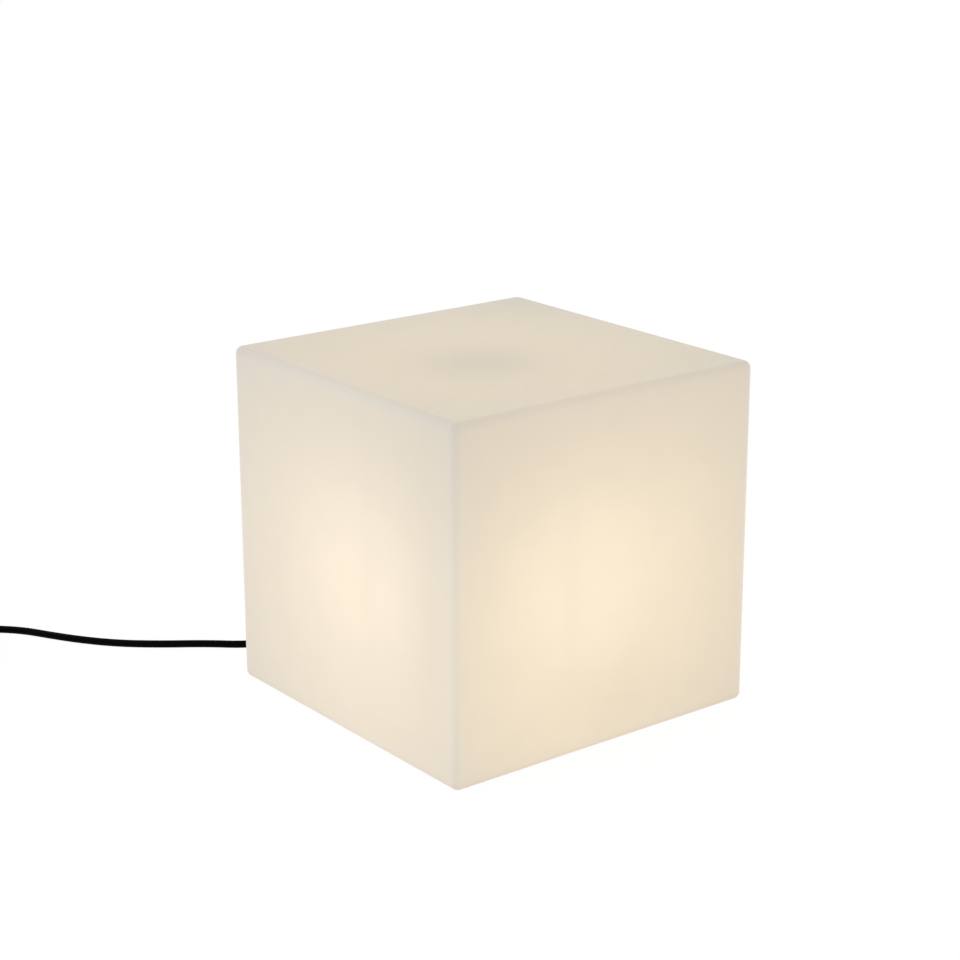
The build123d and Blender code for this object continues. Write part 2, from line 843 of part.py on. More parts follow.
def make_coil_tie(centre, floor_level):
    """A flat strap round all the turns at one place, with its end lapped on the outside."""
    bottom = floor_level - cord_radius - tie_gap
    top = floor_level + (coil_layers - 1) * coil_pitch + cord_radius + tie_gap
    near = coil_outer_radius - coil_pitch / 2 * coil_layer_half_turns - cord_radius - tie_gap
    far = coil_outer_radius + cord_radius + tie_gap
    middle = ((near + far) / 2, (bottom + top) / 2)
    inner = RectangleRounded(far - near, top - bottom, tie_corner)
    grown = 2 * tie_thick
    outer = RectangleRounded(far - near + grown, top - bottom + grown, tie_corner + tie_thick)
    angle = math.radians(tie_angle)
    plane = Plane(
        origin=centre,
        x_dir=(math.cos(angle), math.sin(angle), 0),
        z_dir=(math.sin(angle), -math.cos(angle), 0),
    )
    strap = extrude(plane * Pos(*middle) * (outer - inner), tie_width / 2, both=True)
    flap_at = Pos(far + 1.5 * tie_thick, middle[1])
    flap = Rectangle(tie_thick, top - bottom - 2 * tie_flap_margin)
    return strap + extrude(plane * flap_at * flap, tie_width / 2, both=True)


def end_points(start, level):
    """The last short stretch: level off the coil, down, and level into the plug."""
    points = [(start.X, start.Y, start.Z)]
    heights = (start.Z, level, level)
    y = start.Y
    for run, height in zip(end_runs, heights):
        y -= run
        points.append((start.X, y, height))
    return points


def make_plug_body(x, start):
    """The moulded plug lying on its flat side: grooved relief, taper and notched face."""
    z = plug_height / 2
    waist_at = start - plug_relief_length
    face_at = waist_at - plug_taper_length
    front = face_at - plug_face_length
    ways = {"x_dir": (1, 0, 0), "z_dir": (0, -1, 0)}
    waist = Plane(origin=(x, waist_at, z), **ways)
    waist_face = waist * RectangleRounded(plug_waist_width, plug_waist_height, plug_waist_corner)
    wide = Plane(origin=(x, face_at, z), **ways)
    wide_face = wide * RectangleRounded(plug_width, plug_height, plug_corner)
    body = loft([waist_face, wide_face]) + extrude(wide_face, plug_face_length)
    relief = [(0, start), (plug_relief_tip, start)]
    relief += list(reversed(grooved_taper(plug_relief_root, plug_relief_tip, waist_at, start, 1)))[1:]
    relief += [(0, waist_at)]
    body += Pos(x, 0, z) * turned_along_y(*relief)
    for side in (-1, 1):
        body -= along_y(plug_notch_radius, front, face_at, x, z + side * plug_height / 2)
        hole = pin_shank_radius + pin_shank_gap
        body -= along_y(hole, front, front + pin_shank_length, x + side * pin_spacing / 2, z)
    return body, front


def make_plug_pins(x, front):
    """Two round pins on the plug's face, each with a thinner shank let into it."""
    pins = []
    z = plug_height / 2
    for side in (-1, 1):
        at = x + side * pin_spacing / 2
        pin = along_y(pin_radius, front - pin_length, front, at, z)
        pin = fillet(pin.edges().group_by(Axis.Y)[0], pin_tip_fillet)
        pins.append(pin + along_y(pin_shank_radius, front, front + pin_shank_length, at, z))
    return Compound(pins)


# Places shared by the lid's rim, the housing and the seal
lid_rim_radius = puck_radius - housing_wall - lid_rim_gap
lid_rim_top = lid_top + lid_rim_height
seal_ring_radius = bore_radius - seal_gap - seal_section / 2
seal_height = deck_top + seal_above_deck

# Lead from the sleeve's tip to the coil, the coil, and on to the plug
route = [(0.0, sleeve_tip, cord_height), (0.0, sleeve_tip + straight_from_outlet, cord_height)]
route.append((*drop_place, drop_height))
route += [(x, y, cord_radius) for x, y in floor_route]
route += [(x, y, coil_level) for x, y in coil_approach]
cord, cord_length = tube(route, cord_radius, "cord")
coil_start = Vector(*route[-1])
cord_coil, coil_centre, coil_end, coil_length = make_coil(coil_start)
last_points = end_points(coil_end, plug_height / 2)
cord_end, end_length = tube(last_points, cord_radius, "cord_end")
plug_body, plug_front = make_plug_body(last_points[-1][0], last_points[-1][1])
total = cord_length + coil_length + end_length + sleeve_tip - outlet_inside
print("lead length from the outlet to the plug", round(total))

nodes = {
    "cube_shell": make_cube_shell(),
    "rubber_feet": make_rubber_feet(),
    "base_housing": make_base_housing(),
    "base_lid": make_base_lid(),
    "lid_gasket": make_lid_gasket(),
    "lid_screws": make_lid_screws(),
    "neck_seal": make_neck_seal(),
    "strain_relief": make_lead_sleeve(),
    "cord_clamp": make_cord_clamp(),
    "clamp_screws": make_clamp_screws(),
    "cord_tail": along_y(cord_radius, tail_end_y, sleeve_tip, 0, cord_height),
    "wire_brown": make_wire(1),
    "wire_blue": make_wire(-1),
    "nipple": make_nipple(),
    "nipple_nuts": make_nipple_nuts(),
    "holder_dome": make_holder_dome(),
    "holder_barrel": make_holder_barrel(),
    "contact_block": make_contact_block(),
    "terminal_screws": make_terminal_screws(),
    "screw_sleeve": make_screw_sleeve(),
    "centre_contact": make_centre_contact(),
    "bulb_globe": make_bulb_globe(),
    "bulb_cap": make_bulb_cap(),
    "bulb_insulator": make_bulb_insulator(),
    "bulb_tip": make_bulb_tip(),
    "bulb_stem": make_bulb_stem(),
    "filament_frame": make_filament_frame(),
    "led_filaments": make_led_filaments(),
    "cord": cord,
    "cord_coil": cord_coil,
    "coil_tie": make_coil_tie(coil_centre, coil_start.Z),
    "cord_end": cord_end,
    "plug_body": plug_body,
    "plug_pins": make_plug_pins(last_points[-1][0], plug_front),
}

for name, shape in nodes.items():
    export_step(shape, f"parts/{name}.step")
print(len(nodes), "nodes")
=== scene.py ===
# %% [markdown]
# # A glowing cube for the garden
# The object is a hollow cube of milky polyethylene that stands on the ground. A lamp on a push-in
# insert lights it from inside, and a black rubber lead leaves it low down at the back.
# The solid model comes first and stays as it is. Each step after that dresses one piece of it.

import math

import bpy
import numpy as np
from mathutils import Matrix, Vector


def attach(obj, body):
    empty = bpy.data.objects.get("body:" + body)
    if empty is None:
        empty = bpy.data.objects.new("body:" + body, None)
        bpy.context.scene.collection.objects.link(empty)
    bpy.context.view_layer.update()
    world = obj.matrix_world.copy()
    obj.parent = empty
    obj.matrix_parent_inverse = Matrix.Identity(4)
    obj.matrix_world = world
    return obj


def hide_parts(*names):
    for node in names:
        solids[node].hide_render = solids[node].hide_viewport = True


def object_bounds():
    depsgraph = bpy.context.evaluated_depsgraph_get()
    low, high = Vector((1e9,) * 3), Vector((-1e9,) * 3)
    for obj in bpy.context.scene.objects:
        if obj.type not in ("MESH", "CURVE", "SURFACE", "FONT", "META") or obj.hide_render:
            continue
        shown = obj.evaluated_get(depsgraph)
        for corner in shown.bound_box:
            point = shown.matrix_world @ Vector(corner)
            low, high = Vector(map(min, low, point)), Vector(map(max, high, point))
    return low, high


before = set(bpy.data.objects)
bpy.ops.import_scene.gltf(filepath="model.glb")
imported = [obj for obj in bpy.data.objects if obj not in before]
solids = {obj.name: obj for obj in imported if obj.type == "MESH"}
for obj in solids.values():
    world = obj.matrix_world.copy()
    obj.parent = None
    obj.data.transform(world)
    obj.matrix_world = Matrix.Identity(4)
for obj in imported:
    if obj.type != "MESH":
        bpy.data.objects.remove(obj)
solid_box = [[float(v) for v in corner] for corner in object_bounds()]
solid_size = np.round(np.subtract(*solid_box[::-1]), 3)
print("solid model:", len(solids), "nodes in a box of", solid_size, "m")

# %% [markdown]
# ## The camera
# A picture of a box gives its own camera away: the six corners of the outline fix where it stood.
# Here it looks down at the front edge from about 1.9 m away, through a long lens, so that
# upright edges stay almost upright. The numbers below come from such a fit.

# %% Set the camera
camera_data = bpy.data.cameras.new("camera")
camera_data.sensor_width = 36.0
camera_data.lens = 84.67
camera = bpy.data.objects.new("camera", camera_data)
camera.location = (-1.0897, -1.3940, 0.7422)
camera.rotation_euler = (math.radians(72.515), math.radians(0.124), math.radians(-37.791))
bpy.context.scene.collection.objects.link(camera)
bpy.context.scene.camera = camera
bpy.context.scene.view_settings.view_transform = "Standard"
print("camera", round(camera.location.length, 3), "m from the middle of the floor under the cube")

# %% [markdown]
# ## A short way to write a finish
# Every finish here is one Principled shader with patterns on its sockets. Nodes could be laid out
# by hand in the editor, but then nobody could read them here. The class below keeps the node work
# readable: each call adds one node and hands back its output.

# %% The finish helper
class Finish:
    """A material with one Principled shader, and a method for each kind of node in use."""

    def __init__(self, name, **sockets):
        self.material = bpy.data.materials.new(name)
        self.material.use_nodes = True
        self.tree = self.material.node_tree
        self.shader = self.tree.nodes["Principled BSDF"]
        coordinates = self.tree.nodes.new("ShaderNodeTexCoord").outputs
        self.place, self.facing, self.uv = (coordinates[k] for k in ("Object", "Normal", "UV"))
        self.set(**sockets)

    def put(self, socket, value):
        """Wires an output to a socket, or sets a number or a colour on it."""
        if isinstance(value, bpy.types.NodeSocket):
            self.tree.links.new(value, socket)
        elif socket.type == "RGBA":
            socket.default_value = (*value, 1.0)
        else:
            socket.default_value = value

    def set(self, **sockets):
        """Fills the shader's own sockets, whose names have _ for each space."""
        for name, value in sockets.items():
            self.put(self.shader.inputs[name.replace("_", " ")], value)
        return self

    def node(self, kind, wires, output=0, **settings):
        """Adds a node, fills its inputs by name or in order, and hands back one output."""
        made = self.tree.nodes.new("ShaderNode" + kind)
        for key, value in settings.items():
            setattr(made, key, value)
        pairs = wires.items() if isinstance(wires, dict) else enumerate(wires)
        for key, value in pairs:
            self.put(made.inputs[key], value)
        return made.outputs[output]

    def parts(self, vector):
        """The x, y and z of a vector."""
        return self.node("SeparateXYZ", [vector]).node.outputs

    def math(self, operation, *values):
        """The number that an operation on numbers gives."""
        return self.node("Math", values, operation=operation)

    def vector(self, operation, *values):
        """The vector that an operation on vectors gives."""
        return self.node("VectorMath", values, operation=operation)

    def measure(self, operation, *values):
        """The number that an operation on vectors gives, such as a length."""
        return self.node("VectorMath", values, output="Value", operation=operation)

    def noise(self, scale, detail=3.0, roughness=0.55, at=None, **more):
        """Cloudy noise round 0.5, with about scale clouds to a metre."""
        wires = {"Vector": at or self.place, "Scale": scale, "Detail": detail}
        return self.node("TexNoise", {**wires, "Roughness": roughness, **more})

    def span(self, value, low, high, to_low, to_high):
        """Carries value from low..high to to_low..to_high, and holds it at the ends."""
        return self.node("MapRange", [value, low, high, to_low, to_high])

    def blend(self, share, first, second):
        """The first colour at share 0, and the second at share 1."""
        wires = {"Factor": share, 6: first, 7: second}
        return self.node("Mix", wires, output=2, data_type="RGBA")

    def bump(self, height, depth):
        """A normal that leans as if the surface rose by height times depth, in metres."""
        return self.node("Bump", {"Height": height, "Distance": depth, "Strength": 1.0})


def dress(finish, *names):
    """Gives a finish to solids that stay as they are."""
    for name in names:
        solids[name].data.materials.clear()
        solids[name].data.materials.append(finish.material)
    print(finish.material.name, "on", ", ".join(names))


print("finish helper ready")

# %% [markdown]
# ## Black rubber
# The lead's sheath is matt black rubber. It is drawn through a die, so it is even, but handling
# leaves a little dust and a patchy shine. One flat black would look like a hole in the picture.
# Noise on Object coordinates gives dust and shine, and a fine bump breaks the highlight.

# %% Rubber finishes
def rubber_finish(name, greys, gloss, shine):
    """Rubber between two greys, with patches of duller and brighter shine and a fine grain."""
    made = Finish(name, Specular_IOR_Level=gloss)
    dark, pale = ((grey,) * 3 for grey in greys)
    dust = made.noise(160, detail=5, roughness=0.65)
    made.set(Base_Color=made.blend(made.span(dust, 0.45, 0.75, 0.0, 1.0), dark, pale),
             Roughness=made.span(dust, 0.3, 0.7, *shine),
             Normal=made.bump(made.noise(2200, detail=2), 0.00008))
    return made


lead_rubber = rubber_finish("black_lead_rubber", (0.0006, 0.0020), gloss=0.03, shine=(0.45, 0.62))
seal_rubber = rubber_finish("black_seal_rubber", (0.008, 0.020), gloss=0.30, shine=(0.45, 0.60))
foot_rubber = rubber_finish("grey_foot_rubber", (0.060, 0.105), gloss=0.30, shine=(0.62, 0.80))
dress(lead_rubber, "strain_relief", "cord_tail")
dress(seal_rubber, "neck_seal", "lid_gasket")
dress(foot_rubber, "rubber_feet")

# %% [markdown]
# ## The lead
# The lead is one length of round rubber cable. It leaves the insert's sleeve, drops to the floor,
# wanders off to the left, is wound up and tied, and ends in its plug.
# A tube along straight runs and arcs would look like bent wire. A NURBS curve of order 3 with the
# route's corners as control points bends like a cable does: it never kinks, because it only
# touches the middle of each run.

# %% Route of the lead
route = np.array([
    (0.0, 95.0, 10.75), (0.0, 119.0, 10.75), (-0.5, 147.0, 7.0),
    (-3.0, 172.0, 3.25), (-19.0, 192.0, 3.25), (-48.0, 200.0, 3.25), (-81.6, 196.5, 3.25),
    (-111.5, 203.6, 3.25), (-139.7, 229.8, 3.25), (-172.8, 253.5, 3.25), (-201.5, 278.5, 3.25),
    (-223.3, 306.8, 3.25), (-238.6, 332.3, 3.25), (-253.4, 359.8, 3.25), (-276.7, 383.2, 3.25),
    (-306.0, 390.0, 4.25), (-328.0, 390.0, 4.25),
]) / 1000
to_plug = np.array([
    (-369.875, 346.3, 26.15), (-369.875, 328.3, 26.15),
    (-369.875, 304.5, 13.0), (-369.875, 285.5, 13.0),
]) / 1000
print("route:", len(route), "points to the coil, and", len(to_plug), "from there to the plug")

# %% [markdown]
# ## The coil
# The length that nobody needs is wound up: four flat layers of turns, piled on each other. The
# turns are more control points of the same curve, so the lead runs into its coil with no joint.

# %% Turns of the coil
coil_centre = np.array([-0.3345, 0.3528])
coil_rim, coil_pitch, coil_floor = 0.0372, 0.0073, 0.00425
layer_half_turns, wound_half_turns, all_half_turns = 4, 3, 14.5


def coil_line(points_per_turn):
    """Four flat spirals piled up, wound in, out, in and out.

    t counts half turns. In each layer the radius changes by half a pitch per half turn for three
    half turns. In the fourth, it stays, and the line climbs one pitch with a soft S.
    The control points lie outside the curve by 1 / cos(half a step), so the curve itself has
    the radius.
    """
    step = 2 / points_per_turn
    t = np.arange(0, all_half_turns + step / 2, step)
    layer = np.floor(t / layer_half_turns)
    along = t - layer_half_turns * layer
    wound = np.minimum(along, wound_half_turns)
    wound = np.where(layer % 2 == 0, wound, wound_half_turns - wound)
    climb = np.clip(along - wound_half_turns, 0, 1)
    radius = (coil_rim - coil_pitch / 2 * wound) / math.cos(math.pi / points_per_turn)
    angle = np.radians(90 + 180 * t)
    height = coil_floor + coil_pitch * (layer + climb ** 2 * (3 - 2 * climb))
    return np.stack([coil_centre[0] + radius * np.cos(angle),
                     coil_centre[1] + radius * np.sin(angle), height], axis=1)


lead_points = np.concatenate([route, coil_line(points_per_turn=24), to_plug])
lowest, highest = (np.round(corner, 3) for corner in (lead_points.min(0), lead_points.max(0)))
print("lead:", len(lead_points), "control points between", lowest, "and", highest)

# %% [markdown]
# ## One curve for the whole lead
# A curve with a round bevel is a tube, and it stays easy to edit: only its control points count. A
# mesh swept along the same line would look alike, but nobody could lay it anew later. The curve
# stands for three solids of the model, the straight lead, its coil and its end.

# %% Make the lead
cord_radius = 0.00325
lead_curve = bpy.data.curves.new("lead", "CURVE")
lead_curve.dimensions = "3D"
lead_curve.bevel_depth = cord_radius
lead_curve.bevel_resolution = 8
lead_curve.use_fill_caps = True
lead_curve.resolution_u = 6
lead_curve.materials.append(lead_rubber.material)
spline = lead_curve.splines.new("NURBS")
spline.points.add(len(lead_points) - 1)
weighted_points = np.column_stack([lead_points, np.ones(len(lead_points))])
spline.points.foreach_set("co", weighted_points.ravel())
spline.order_u = 3
spline.use_endpoint_u = True
lead = bpy.data.objects.new("lead", lead_curve)
bpy.context.scene.collection.objects.link(lead)
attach(lead, "lamp_base")
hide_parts("cord", "cord_coil", "cord_end")
print("lead curve of order", spline.order_u, "with", len(spline.points), "points")

# %% [markdown]
# ## Surfaces from grids
# The turned and moulded pieces below are grids of points: each row is one ring of the piece, and
# each column one line along it. A grid is a function of two parameters, so numpy works out all its
# points at once. Spin and Screw could turn a profile too, but they can't put a thread or a rib
# on it.
# A mesh needs faces as well. Neighbours in the grid make quads. They could be added one at a time,
# but here they are numbered for the whole grid at once, which is much faster. Points that meet in a
# pole become one, so every piece is a closed skin.

# %% From a grid to a piece
import bmesh


def add_piece(name, grid, body, finish, nodes, loop=True, sharp=40, uv=None):
    """Puts a grid of points, in mm, into a mesh that stands for some solids.

    Quad (k, i) joins points (k, i), (k, i + 1), (k + 1, i + 1) and (k + 1, i). Columns close on
    themselves, and rows do too if loop is set. uv gives a value to each row and to each column,
    with one more at the end for the seam.
    """
    rows, columns, _ = grid.shape
    number = np.arange(rows * columns).reshape(rows, columns)
    number = np.vstack([number, number[:1]]) if loop else number
    right = np.roll(number, -1, axis=1)
    quads = np.stack([number[:-1], right[:-1], right[1:], number[1:]], axis=-1).reshape(-1, 4)
    mesh = bpy.data.meshes.new(name)
    mesh.from_pydata((grid.reshape(-1, 3) / 1000).tolist(), [], quads.tolist(), shade_flat=False)
    if uv is not None:
        down, over = np.meshgrid(*uv, indexing="ij")
        both = np.stack([down, over], axis=-1)
        corners = np.stack([both[:-1, :-1], both[:-1, 1:], both[1:, 1:], both[1:, :-1]], axis=2)
        mesh.uv_layers.new(name="UVMap").data.foreach_set("uv", corners.ravel())
    work = bmesh.new()
    work.from_mesh(mesh)
    bmesh.ops.remove_doubles(work, verts=work.verts, dist=1e-6)
    bmesh.ops.recalc_face_normals(work, faces=work.faces)
    work.to_mesh(mesh)
    work.free()
    mesh.set_sharp_from_angle(angle=math.radians(sharp))
    mesh.materials.append(finish.material)
    made = bpy.data.objects.new(name, mesh)
    bpy.context.scene.collection.objects.link(made)
    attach(made, body)
    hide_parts(*nodes)
    print(name, "with", len(mesh.polygons), "faces stands for", ", ".join(nodes))
    return made


print("piece helper ready")

# %% [markdown]
# ## The strap round the coil
# The put-away length of the lead is held by a woven strap that goes once round all the turns and
# laps over its own start. A weave could be modelled thread by thread, but at this size a bump is
# enough: two crossing waves, which follow the ribbon because they read its own UV map.

# %% Strap weave
weave = Finish("black_woven_strap", Roughness=0.85, Sheen_Weight=0.25, Sheen_Roughness=0.5)
length_way, width_way, _ = weave.parts(weave.uv)
thread_step = 0.0011
thread_wave = 2 * math.pi / thread_step
over = weave.math("SINE", weave.math("MULTIPLY", length_way, thread_wave))
under = weave.math("SINE", weave.math("MULTIPLY", width_way, thread_wave))
crossing = weave.math("MULTIPLY_ADD", over, under, weave.noise(1500))
weave_grey = weave.blend(weave.span(crossing, -0.5, 1.5, 0.0, 1.0),
                         (0.006, 0.006, 0.006), (0.030, 0.030, 0.031))
weave.set(Base_Color=weave_grey, Normal=weave.bump(crossing, 0.00020))
print("weave with a wave every", 1000 * thread_step, "mm")

# %% [markdown]
# The strap itself is a flat ribbon: a thin section with round edges, carried along a line in an
# upright plane through the middle of the coil. The line goes round the turns with soft bends. A
# curve with a bevel could do it too, but it would have no UV map in metres along the ribbon.

# %% Line of the strap
def softened(outline, radius, steps=5, closed=True):
    """Rounds the corners of a line of points.

    Each corner C becomes a curve from A to B, the points a radius before and after it:
    (1 - t)^2 A + 2 t (1 - t) C + t^2 B. Short sides shrink the radius to 0.45 of their length.
    """
    corner = np.asarray(outline, float)
    before, after = np.roll(corner, 1, 0) - corner, np.roll(corner, -1, 0) - corner
    to_before, to_after = np.linalg.norm(before, axis=1), np.linalg.norm(after, axis=1)
    cut = np.minimum(radius, 0.45 * np.minimum(to_before, to_after))[:, None]
    start = corner + before / to_before[:, None] * cut
    end = corner + after / to_after[:, None] * cut
    t = np.linspace(0, 1, steps)[None, :, None]
    curve = ((1 - t) ** 2 * start[:, None] + 2 * t * (1 - t) * corner[:, None]
             + t ** 2 * end[:, None])
    if closed:
        return curve.reshape(-1, 2)
    return np.concatenate([corner[:1], curve[1:-1].reshape(-1, 2), corner[-1:]])


strap_near, strap_far, strap_low, strap_high, strap_lap = 22.3, 41.15, 0.32, 30.08, 41.75
strap_bend = 2.8
strap_line = softened([
    (strap_far, 24.8), (strap_far, strap_low), (strap_near, strap_low), (strap_near, strap_high),
    (41.25, strap_high), (strap_lap, 26.0), (strap_lap, 5.6),
], strap_bend, steps=8, closed=False)
steps_along = np.linalg.norm(np.diff(strap_line, axis=0), axis=1)
run = np.concatenate([[0], np.cumsum(steps_along) / 1000])
print("strap:", round(run[-1], 3), "m long")

# %% Strap ribbon
ahead = np.gradient(strap_line, axis=0)
ahead /= np.linalg.norm(ahead, axis=1)[:, None]
side = np.stack([ahead[:, 1], -ahead[:, 0]], axis=1)
# The section, 0.6 mm thick and 8 mm wide
edge_turn = np.linspace(0, 2 * np.pi, 16, endpoint=False)
thick = 0.3 * np.sign(np.sin(edge_turn)) * np.abs(np.sin(edge_turn)) ** 0.6
wide = 3.7 * np.clip(1.6 * np.cos(edge_turn), -1, 1) + 0.3 * np.cos(edge_turn)
# The first and last rows shrink to their middles and close the ribbon's ends
swell = np.ones(len(strap_line) + 2)
swell[[0, -1]] = 0
rows = np.concatenate([[0], np.arange(len(strap_line)), [len(strap_line) - 1]])
out = strap_line[rows, 0, None] + swell[:, None] * thick * side[rows, 0, None]
rise = strap_line[rows, 1, None] + swell[:, None] * thick * side[rows, 1, None]
sideways = swell[:, None] * wide
tilt = math.radians(135)
strap_x = 1000 * coil_centre[0] + out * math.cos(tilt) - sideways * math.sin(tilt)
strap_y = 1000 * coil_centre[1] + out * math.sin(tilt) + sideways * math.cos(tilt)
girth = np.concatenate([wide, wide[:1]]) / 1000
strap = add_piece("coil_strap", np.stack([strap_x, strap_y, rise], axis=-1), "lamp_base",
                  weave, ["coil_tie"], loop=False, uv=(run[rows], girth))

# %% [markdown]
# ## The plug
# The plug is moulded onto the lead in one piece: a flat body with a notch above and below for the
# fingers, a waist, and a ringed sleeve that bends with the lead. It could be joined from boxes and
# cones, but the joints would show. Every cross-section is a rounded rectangle, so one formula draws
# it all: only the width, height and corner change along the way.

# %% Sections along the plug
plug_x, plug_z, plug_front = -369.875, 13.0, 237.5
face_half = {"wide": 18.0, "high": 13.0, "corner": 9.0}
waist_half = {"wide": 8.5, "high": 7.5, "corner": 6.0}
lip, waist_at, tail_at = 1.6, 26, 48


def eased(value, low, high):
    """Goes from 0 at low to 1 at high with a soft start and end: 3 s^2 - 2 s^3."""
    s = np.clip((value - low) / (high - low), 0, 1)
    return s * s * (3 - 2 * s)


# Where the sections lie: close together on the lip and the rings, and three at each end to close it
lip_turn = np.linspace(0, np.pi / 2, 7)
at = np.concatenate([
    [0, 0, 0], lip * (1 - np.cos(lip_turn)), np.linspace(2.4, waist_at, 40),
    np.linspace(26.2, 47.4, 107), [tail_at] * 3,
])
inset = np.interp(at, [0, lip], [lip, 0])
inset[3:10] = lip * (1 - np.sin(lip_turn))
shrink = np.ones(len(at))
shrink[[0, 1, 2]] = (0, 0.35, 0.8)
shrink[[-2, -1]] = (0.6, 0)
narrow = eased(at, 9.0, waist_at)
sleeve = eased(at, 24.5, 27.0)
# The sleeve tapers, and grooves part its rings
groove_step, groove_depth = 4.4, 0.7
ring_wave = np.cos(2 * np.pi * (at - waist_at) / groove_step)
groove = groove_depth * eased(ring_wave, -0.62, -0.78) * ((at > 27) & (at < 47))
ring_radius = np.interp(at, [waist_at, tail_at], [5.9, 4.2]) - groove


def plug_half(measure):
    """From the face's half measure to the waist's, then to the ringed sleeve's radius."""
    body = face_half[measure] + (waist_half[measure] - face_half[measure]) * narrow
    return body * (1 - sleeve) + ring_radius * sleeve - inset


half_wide, half_high, corner = (plug_half(measure) for measure in ("wide", "high", "corner"))
print("plug:", len(at), "sections over", tail_at, "mm")

# %% Moulded plug
a = np.linspace(0, 2 * np.pi, 160, endpoint=False)
# Rounded rectangle: a clipped cosine for the flat runs, plus a circle for the corners
wide = (half_wide - corner)[:, None] * np.clip(1.9 * np.cos(a), -1, 1) + corner[:, None] * np.cos(a)
high = (half_high - corner)[:, None] * np.clip(1.9 * np.sin(a), -1, 1) + corner[:, None] * np.sin(a)
# The finger notches are round grooves that run out towards the waist
notch_radius = 3.5
notch = np.sqrt(np.clip(notch_radius ** 2 - wide ** 2, 0, None))
notch = notch * (1 - eased(at, 9.0, 14.0))[:, None]
high = np.sign(high) * np.minimum(np.abs(high), face_half["high"] - notch)
plug_grid = np.stack([plug_x + shrink[:, None] * wide, plug_front + at[:, None] + 0 * wide,
                      plug_z + shrink[:, None] * high], axis=-1)
plug_rubber = rubber_finish("black_plug_rubber", (0.004, 0.010), gloss=0.14, shine=(0.42, 0.58))
plug = add_piece("plug_moulding", plug_grid, "lamp_base", plug_rubber,
                 ["plug_body"], loop=False, sharp=50)

# %% [markdown]
# Now the lead has all its pieces, and what it ends in can be said.

# %% Say what the lead ends in
print("lead ends in", plug.name)

# %% [markdown]
# ## The glow
# A milky wall scatters the light that reaches it, so each place on it is as bright as the light
# that falls on its inside. The lamp's light rods shine sideways and hardly at all along their
# own axis. So a side wall is brightest level with the rods and fades by the inverse square law,
# while the top is dimmer, with a soft dark spot over the lamp's end.
# A volume shader would give the same picture far more slowly, and it could not be baked.
# So the light is worked out from Object coordinates, and it stays on the wall from every side.

# %% Milk-white wall
half_width = 0.15
milk = Finish("milk_polyethylene", Base_Color=(0.46, 0.45, 0.43), Specular_IOR_Level=0.25,
              Emission_Strength=1.0)
x, y, z = milk.parts(milk.place)
# Distance along a side from the middle of its face: it runs on evenly round an upright edge
along = milk.math("SUBTRACT", half_width, milk.math("ABSOLUTE", milk.math("ADD", x, y)))


def squared(value, middle, scale):
    """((value - middle) / scale) squared."""
    part = milk.math("DIVIDE", milk.math("SUBTRACT", value, middle), scale)
    return milk.math("MULTIPLY", part, part)


def fading(power):
    """e to the minus power: a soft bell when power is a square."""
    return milk.math("EXPONENT", milk.math("MULTIPLY", power, -1.0))


print("milk-white wall ready")

# %% Light on the cube's walls
glow_along, glow_height, wall_reach = -0.0175, 0.115, 0.30
core_along, core_height, core_wide, core_high = -0.027, 0.152, 0.0805, 0.0669
mast_along, mast_height, mast_wide, mast_high = -0.038, 0.14, 0.010, 0.06
spot, spot_spread = (-0.0255, -0.0203, 0.0), 0.035
roof_reach, most_loss = math.sqrt(0.02), 3.0

# Sideways light of an upright rod, in units of the reach: flat distance over distance to the fourth
flat2 = milk.math("ADD", squared(along, glow_along, wall_reach), 1.0)
far2 = milk.math("ADD", flat2, squared(z, glow_height, wall_reach))
wide_light = milk.math("DIVIDE", milk.math("SQRT", flat2), milk.math("MULTIPLY", far2, far2))
# The rods themselves, blurred by the wall, and the faint upright shade of their mast
core2 = milk.math("ADD", squared(along, core_along, core_wide), squared(z, core_height, core_high))
core_light = fading(milk.math("POWER", core2, 1.5))
mast2 = milk.math("ADD", squared(along, mast_along, mast_wide), squared(z, mast_height, mast_high))
shade = fading(mast2)
# The roof: a dim spot over the lamp's end, and a slow loss away from it, up to the far corner
from_spot = milk.vector("MULTIPLY", milk.vector("SUBTRACT", milk.place, spot), (1, 1, 0))
across = milk.measure("LENGTH", from_spot)
roof_spot = fading(squared(across, 0.0, spot_spread * math.sqrt(2)))
roof_loss = milk.math("MINIMUM", squared(across, 0.0, roof_reach), most_loss)
print("cube light: brightest", core_height, "m up the sides, dim over", spot[:2])

# %% [markdown]
# ## Painted shade along the edges and in patches
# A cube like this is made by turning a hot mould with plastic powder in it. On the painted glow,
# a thin band where a side meets the top or the floor gets painted shade, the edges get painted
# cool room light and shade, and two places are painted dimmer and one brighter. A noise alone
# would spread such places evenly, so the large ones are set one by one, and noise adds the rest.

# %% Painted edge light and shade, and clouding of the wall
middle_height, edge_reach, rim_height, rim_wide = 0.147, 0.010, 0.1419, 0.0023
# Distance to the nearest edge of a face: half the width less the second largest of three reaches
from_middle = milk.math("SUBTRACT", z, middle_height)
reaches = [milk.math("ABSOLUTE", value) for value in (x, y, from_middle)]
low_pair = milk.math("MINIMUM", reaches[0], reaches[1])
high_pair = milk.math("MAXIMUM", reaches[0], reaches[1])
second = milk.math("MAXIMUM", low_pair, milk.math("MINIMUM", high_pair, reaches[2]))
# Light sampling can ask for a place just off the wall, so the measure stops at the edge itself
past_edge = milk.math("MINIMUM", milk.math("SUBTRACT", second, half_width), 0.0)
# edge paints cool room light and shade near the edges of each face; its colours are set below
edge = milk.math("EXPONENT", milk.math("DIVIDE", past_edge, edge_reach))
# Painted shade: a thin band where a side turns into the top or the floor is made dimmer
rim = fading(squared(reaches[2], rim_height, rim_wide))
cloud = milk.span(milk.noise(38, detail=2), 0.3, 0.7, 0.985, 1.015)


